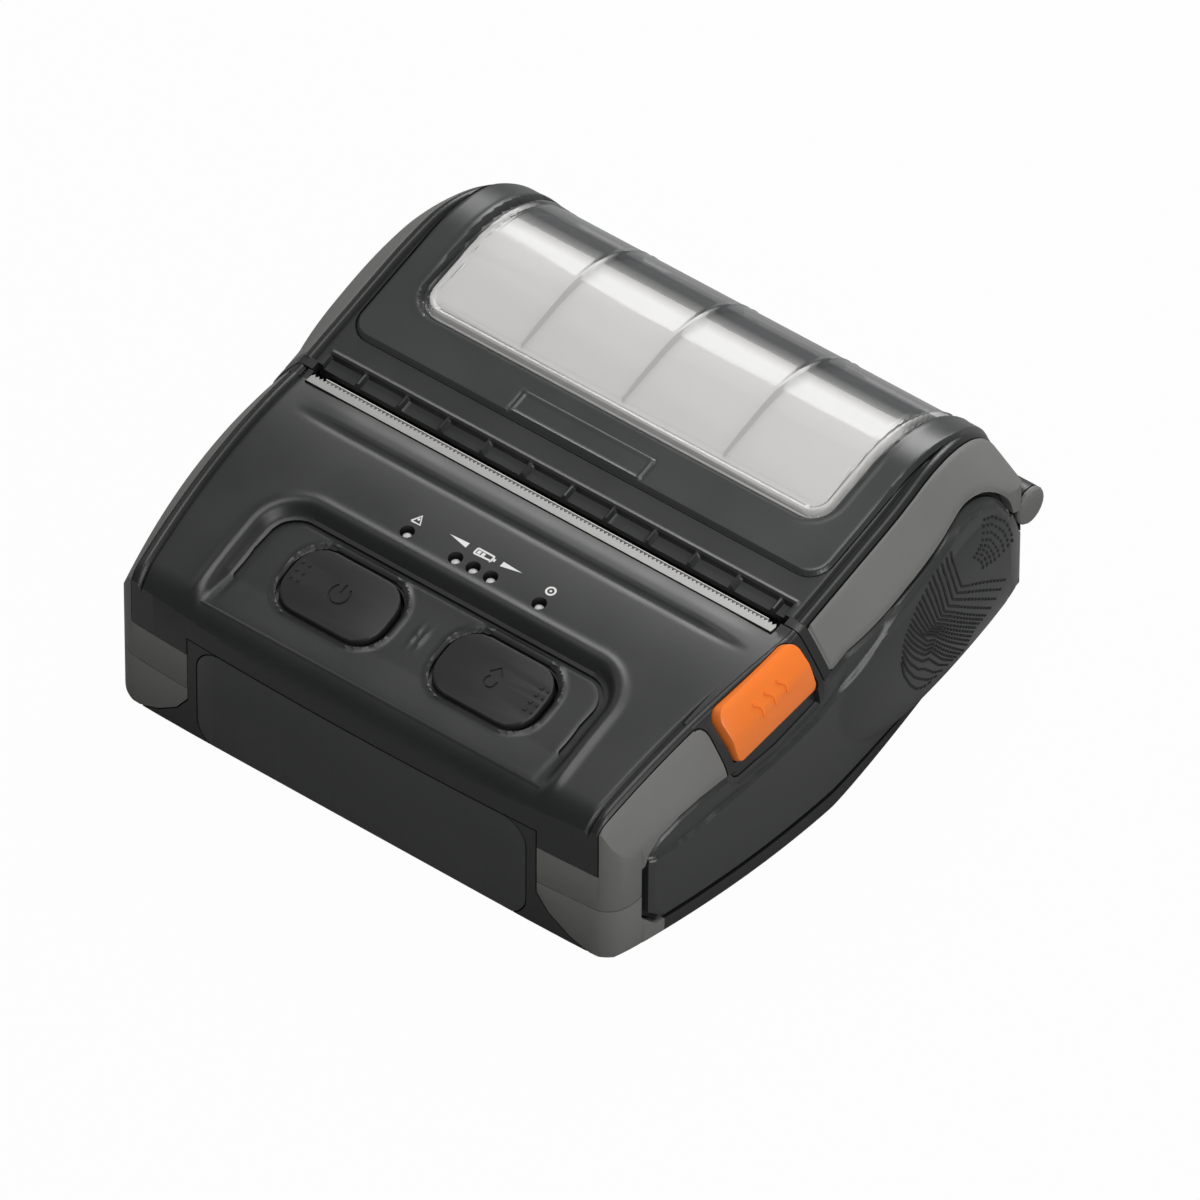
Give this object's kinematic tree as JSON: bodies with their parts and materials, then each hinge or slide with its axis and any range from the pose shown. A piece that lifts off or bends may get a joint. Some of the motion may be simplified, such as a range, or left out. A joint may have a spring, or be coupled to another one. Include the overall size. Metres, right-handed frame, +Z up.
{
  "type": "mobile receipt printer",
  "caption": "Rugged battery-powered thermal printer for wide paper: hinged lid over a drop-in roll, geared platen, tilting print head, slide-out battery and two keys.",
  "frame": {"origin": "centre of the closed printer's footprint, on the surface it stands on", "axes": "+Z up, -Y to the front where the keys and the battery cover are, +X to the right seen from the front"},
  "size_m": [0.1468, 0.1334, 0.0602],
  "materials": {
    "dark_plastic": "moulded polycarbonate blend, fine texture",
    "panel_plastic": "moulded polycarbonate blend, satin",
    "bumper_grey": "overmoulded soft elastomer, matt",
    "inner_plastic": "moulded plastic, plain",
    "clear_smoke": "smoked transparent polycarbonate, polished",
    "button_orange": "moulded plastic, satin",
    "steel": "stamped or turned steel",
    "rubber_black": "moulded rubber, matt",
    "paper": "thermal paper, smooth",
    "board_green": "fibreglass board with solder mask",
    "light_plastic": "translucent or white moulded plastic",
    "key_rubber": "moulded silicone keypad"
  },
  "bodies": {
    "base": {"bottom_case": "dark_plastic", "deck_cover": "dark_plastic", "side_panel_right": "panel_plastic", "side_panel_left": "panel_plastic", "front_bumper_right": "bumper_grey", "front_bumper_left": "bumper_grey", "lower_corner_right": "bumper_grey", "lower_corner_left": "bumper_grey", "pin_cap_right": "bumper_grey", "pin_cap_left": "bumper_grey", "roll_bay": "inner_plastic", "power_switch": "inner_plastic", "feed_switch": "inner_plastic", "battery_contacts": "inner_plastic", "charge_socket": "inner_plastic", "tear_bar": "steel", "head_frame": "steel", "head_spring": "steel", "motor": "steel", "usb_socket": "steel", "hinge_pin": "steel", "case_screw_1": "steel", "case_screw_2": "steel", "case_screw_3": "steel", "case_screw_4": "steel", "rubber_foot_1": "rubber_black", "rubber_foot_2": "rubber_black", "rubber_foot_3": "rubber_black", "rubber_foot_4": "rubber_black", "paper_web": "paper", "circuit_board": "board_green", "port_board": "board_green", "status_lens_1": "light_plastic", "status_lens_2": "light_plastic", "status_lens_3": "light_plastic", "status_lens_4": "light_plastic", "status_lens_5": "light_plastic"},
    "release_button": {"release_button": "button_orange"},
    "head": {"print_head": "steel", "thermal_strip": "light_plastic"},
    "power_key": {"power_key": "key_rubber"},
    "feed_key": {"feed_key": "key_rubber"},
    "port_flap": {"port_flap": "panel_plastic"},
    "battery": {"battery_case": "inner_plastic", "battery_cover": "dark_plastic", "battery_terminals": "steel"},
    "lid": {"lid_cover": "dark_plastic", "lid_panel": "dark_plastic", "lid_window": "clear_smoke", "lid_bumper_right": "bumper_grey", "lid_bumper_left": "bumper_grey", "platen_bush_right": "light_plastic", "platen_bush_left": "light_plastic"},
    "platen": {"platen_shaft": "steel", "platen_rubber": "rubber_black", "platen_gear": "light_plastic"},
    "idler": {"idler_gear": "light_plastic"},
    "pinion": {"motor_pinion": "steel"},
    "roll": {"paper_roll": "paper", "roll_core": "panel_plastic"}
  },
  "joints": [
    {"name": "release_press", "type": "slide", "parent": "base", "child": "release_button", "axis": [-0.8192, 0.0535, -0.5711], "range_m": [0, 0.0022], "stiffness_N_per_m": 1500, "springref_m": -0.001},
    {"name": "head_tilt", "type": "hinge", "parent": "base", "child": "head", "pos_m": [0, -0.0103, 0.0313], "axis": [1, 0, 0], "range_deg": [0, 4.3]},
    {"name": "power_press", "type": "slide", "parent": "base", "child": "power_key", "axis": [0, 0, -1], "range_m": [0, 0.0009], "stiffness_N_per_m": 900, "springref_m": -0.0008},
    {"name": "feed_press", "type": "slide", "parent": "base", "child": "feed_key", "axis": [0, 0, -1], "range_m": [0, 0.0009], "stiffness_N_per_m": 900, "springref_m": -0.0008},
    {"name": "port_flap_hinge", "type": "hinge", "parent": "base", "child": "port_flap", "pos_m": [-0.0698, -0.03425, 0.0078], "axis": [0, -1, 0], "range_deg": [0, 100]},
    {"name": "battery_slide", "type": "slide", "parent": "base", "child": "battery", "axis": [0, -1, 0], "range_m": [0, 0.06]},
    {"name": "lid_hinge", "type": "hinge", "parent": "base", "child": "lid", "pos_m": [0, 0.06255, 0.0338], "axis": [-1, 0, 0], "range_deg": [0, 75]},
    {"name": "platen_spin", "type": "hinge", "parent": "lid", "child": "platen", "pos_m": [0, -0.0005, 0.036], "axis": [1, 0, 0], "continuous": true},
    {"name": "idler_spin", "type": "hinge", "parent": "base", "child": "idler", "pos_m": [-0.0618, -0.01089, 0.02561], "axis": [1, 0, 0], "continuous": true},
    {"name": "pinion_spin", "type": "hinge", "parent": "base", "child": "pinion", "pos_m": [-0.0618, -0.01999, 0.03503], "axis": [1, 0, 0], "continuous": true},
    {"name": "roll_spin", "type": "hinge", "parent": "base", "child": "roll", "pos_m": [0, 0.0325, 0.0296], "axis": [1, 0, 0], "continuous": true}
  ],
  "couplings": [
    {"joint": "head_tilt", "follows": "release_press", "rad_per_m": 34.1},
    {"joint": "idler_spin", "follows": "platen_spin", "ratio": -0.8},
    {"joint": "pinion_spin", "follows": "platen_spin", "ratio": 1.3333}
  ]
}
